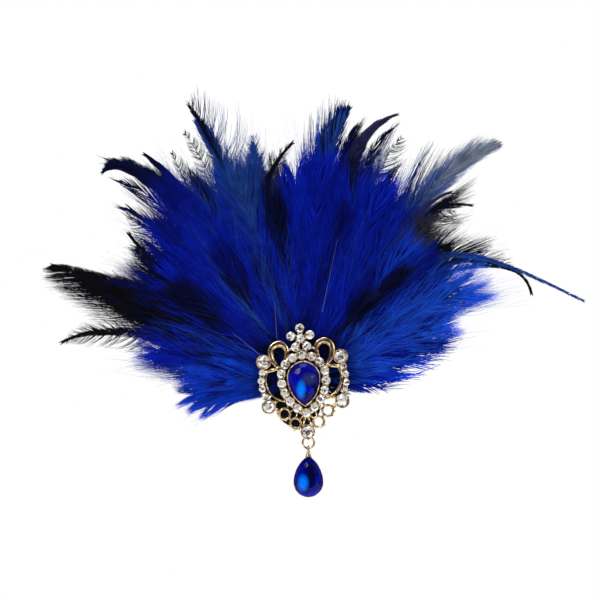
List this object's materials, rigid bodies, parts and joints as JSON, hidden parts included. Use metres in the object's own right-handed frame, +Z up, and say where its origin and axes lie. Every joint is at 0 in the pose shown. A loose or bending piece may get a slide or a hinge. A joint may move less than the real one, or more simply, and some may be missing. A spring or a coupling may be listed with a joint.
{
  "type": "feather headpiece",
  "caption": "Fan of dyed feathers on a felt pad with a hair clip behind, a pierced paste brooch in front and a pear drop hanging from it on a jump ring.",
  "frame": {"origin": "between the jaws of the hair clip, level with the middle of the centre stone", "axes": "+Z up as worn, -Y the front where the brooch faces, +X to the right seen from the front"},
  "size_m": [0.1818, 0.0178, 0.1331],
  "materials": {
    "dyed_feather": "soft, silky barbs",
    "black_felt": "matte felt",
    "clip_steel": "satin",
    "gold_tone": "polished gold-tone plate",
    "clear_paste": "cut, foiled behind",
    "blue_glass": "cut, foiled behind"
  },
  "bodies": {
    "headpiece": {"accent_stone_1": "clear_paste", "accent_stone_2": "clear_paste", "accent_stone_3": "clear_paste", "accent_stone_4": "clear_paste", "accent_stone_5": "clear_paste", "brooch_frame": "gold_tone", "centre_stone": "blue_glass", "crown_stone_1": "clear_paste", "crown_stone_2": "clear_paste", "crown_stone_3": "clear_paste", "crown_stone_4": "clear_paste", "crown_stone_5": "clear_paste", "crown_stone_6": "clear_paste", "feather_fan": "dyed_feather", "felt_pad": "black_felt", "hair_clip": "clip_steel", "halo_stone_01": "clear_paste", "halo_stone_02": "clear_paste", "halo_stone_03": "clear_paste", "halo_stone_04": "clear_paste", "halo_stone_05": "clear_paste", "halo_stone_06": "clear_paste", "halo_stone_07": "clear_paste", "halo_stone_08": "clear_paste", "halo_stone_09": "clear_paste", "halo_stone_10": "clear_paste", "halo_stone_11": "clear_paste", "halo_stone_12": "clear_paste", "halo_stone_13": "clear_paste", "halo_stone_14": "clear_paste", "halo_stone_15": "clear_paste", "halo_stone_16": "clear_paste", "side_stone_1": "clear_paste", "side_stone_2": "clear_paste", "side_stone_3": "clear_paste", "side_stone_4": "clear_paste", "side_stone_5": "clear_paste", "side_stone_6": "clear_paste", "side_stone_7": "clear_paste", "side_stone_8": "clear_paste"},
    "ring": {"jump_ring": "gold_tone"},
    "drop": {"drop_setting": "gold_tone", "drop_stone": "blue_glass"}
  },
  "joints": [
    {"name": "ring_swing", "type": "hinge", "parent": "headpiece", "child": "ring", "pos_m": [0.00147, -0.007, -0.01864], "axis": [0, 1, 0], "range_deg": [-60, 60]},
    {"name": "drop_swing", "type": "hinge", "parent": "ring", "child": "drop", "pos_m": [0.00147, -0.007, -0.02169], "axis": [1, 0, 0], "range_deg": [-60, 60]}
  ]
}
